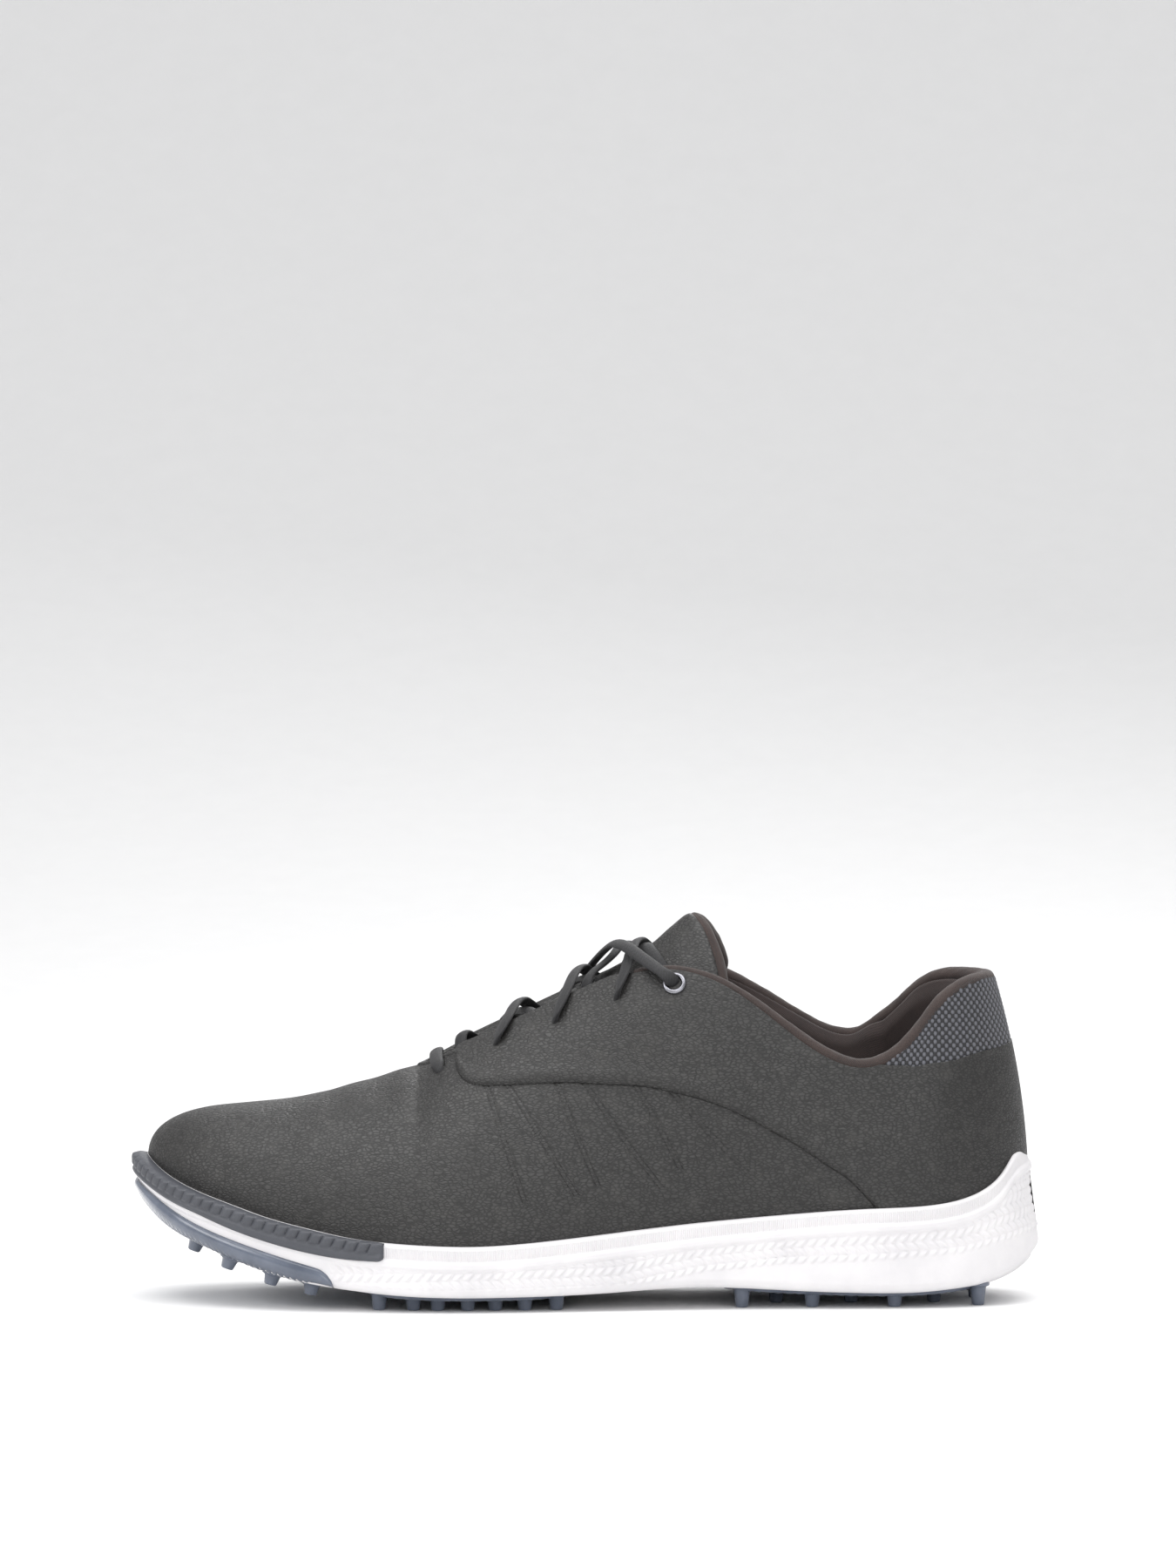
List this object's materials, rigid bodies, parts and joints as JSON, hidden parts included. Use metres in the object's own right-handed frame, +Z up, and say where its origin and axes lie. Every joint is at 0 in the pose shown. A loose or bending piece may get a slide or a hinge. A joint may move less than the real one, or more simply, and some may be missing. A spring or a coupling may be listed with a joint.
{
  "type": "golf shoe",
  "caption": "Left spikeless golf shoe with leather upper, padded collar and tongue, toe guard, ribbed foam midsole and nubbed outsole pods.",
  "frame": {"origin": "middle of the bounding box's footprint, on the ground under the outsole nubs", "axes": "+X from toe to heel, +Y from the lateral to the medial side, +Z up"},
  "size_m": [0.3016, 0.108, 0.1276],
  "materials": {
    "tpu": "glossy blue-grey urethane",
    "eva": "moulded off-white foam",
    "guard_rubber": "matt grey rubber",
    "nylon": "black moulded nylon",
    "board": "pressed fibre board",
    "pu_foam": "open-cell foam",
    "insole_cloth": "brushed knit",
    "leather": "pebbled charcoal leather",
    "mesh": "grey woven mesh",
    "lining": "dark brown textile",
    "binding": "dark brown rolled textile",
    "gunmetal": "gunmetal plated brass",
    "lace_cord": "flat woven polyester",
    "clear_plastic": "smoked clear plastic"
  },
  "bodies": {
    "shoe": {"aglets": "clear_plastic", "collar_binding": "binding", "collar_foam": "pu_foam", "eyestay_lateral": "board", "eyestay_medial": "board", "heel_counter": "board", "heel_tab": "mesh", "lace": "lace_cord", "midfoot_shank": "nylon", "midsole": "eva", "outsole_forefoot_pod": "tpu", "outsole_heel_pod": "tpu", "outsole_toe_pod": "tpu", "quarter_lateral": "leather", "quarter_lining": "lining", "quarter_medial": "leather", "small_eyelets": "gunmetal", "strobel_board": "board", "toe_guard": "guard_rubber", "toe_puff": "board", "top_eyelet_rings": "gunmetal", "top_eyelet_washers": "leather", "vamp": "leather", "vamp_lining": "lining"},
    "tongue": {"tongue_binding": "binding", "tongue_face": "leather", "tongue_foam": "pu_foam", "tongue_lining": "lining"},
    "insole": {"insole_foam": "pu_foam", "insole_cover": "insole_cloth"}
  },
  "joints": [
    {"name": "tongue_lift", "type": "hinge", "parent": "shoe", "child": "tongue", "pos_m": [-0.06, 0.0076, 0.068], "axis": [0, 1, 0], "range_deg": [0, 12]},
    {"name": "insole_peel", "type": "hinge", "parent": "shoe", "child": "insole", "pos_m": [-0.137, 0.01, 0.0385], "axis": [0, -1, 0], "range_deg": [0, 5]}
  ]
}
